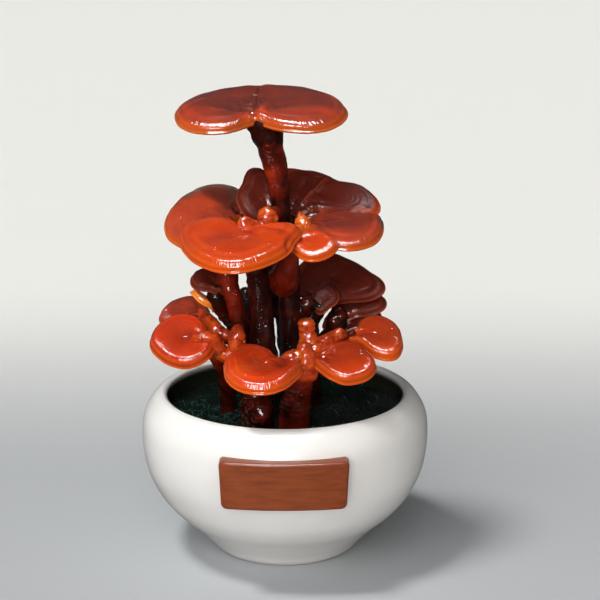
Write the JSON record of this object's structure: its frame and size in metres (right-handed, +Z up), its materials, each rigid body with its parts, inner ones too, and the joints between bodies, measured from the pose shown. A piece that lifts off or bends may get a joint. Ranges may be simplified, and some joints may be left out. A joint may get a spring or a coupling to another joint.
{
  "type": "reishi mushroom",
  "caption": "Potted antler reishi: lacquered kidney-shaped caps in tiers on branching stems, growing from moss in a glazed round bowl with a bare name plate.",
  "frame": {"origin": "centre of the bowl's flat foot, on the surface that it stands on", "axes": "+Z up the bowl's axis; the name plate and the front caps face -Y; +X is to the viewer's right"},
  "size_m": [0.18, 0.185, 0.2908],
  "materials": {
    "glaze": "gloss",
    "plate": "gloss",
    "soil": "matte",
    "moss": "matte",
    "bark": "gloss",
    "young_growth": "gloss",
    "cap_orange": "gloss",
    "cap_brick": "gloss",
    "cap_plum": "gloss"
  },
  "bodies": {
    "root": {"bowl": "glaze", "plaque": "plate", "soil": "soil", "moss_bed": "moss", "cap_mid_front": "cap_orange", "cap_mid_small": "cap_orange", "cap_low_front": "cap_orange", "cap_low_right_front": "cap_orange", "cap_low_right": "cap_orange", "cap_low_young": "cap_orange", "cap_top": "cap_brick", "cap_mid_left": "cap_brick", "cap_mid_right": "cap_brick", "cap_low_left": "cap_brick", "cap_low_left_back": "cap_brick", "cap_mid_back": "cap_plum", "cap_mid_flap": "cap_plum", "cap_low_dark": "cap_plum", "cap_low_back": "cap_plum", "cap_low_back_mid": "cap_plum", "cap_low_back_low": "cap_plum", "cap_low_inner": "cap_plum", "stem_top": "bark", "stem_mid_front": "bark", "stem_mid_left": "bark", "stem_mid_back": "bark", "stem_low_left": "bark", "stem_low_right": "bark", "stem_back_right": "bark", "stem_low_dark": "bark", "bud_back": "bark", "branch_mid_small": "bark", "branch_mid_right": "bark", "branch_left_upper": "bark", "branch_low_front": "young_growth", "branch_low_right": "young_growth", "branch_right_front": "young_growth", "branch_mid_front": "young_growth", "branch_left_lower": "young_growth", "bud_left": "young_growth", "bud_right": "young_growth", "branch_mid_flap": "bark", "branch_low_inner": "bark", "branch_back_low": "bark", "bud_mid_right": "young_growth"}
  },
  "joints": []
}
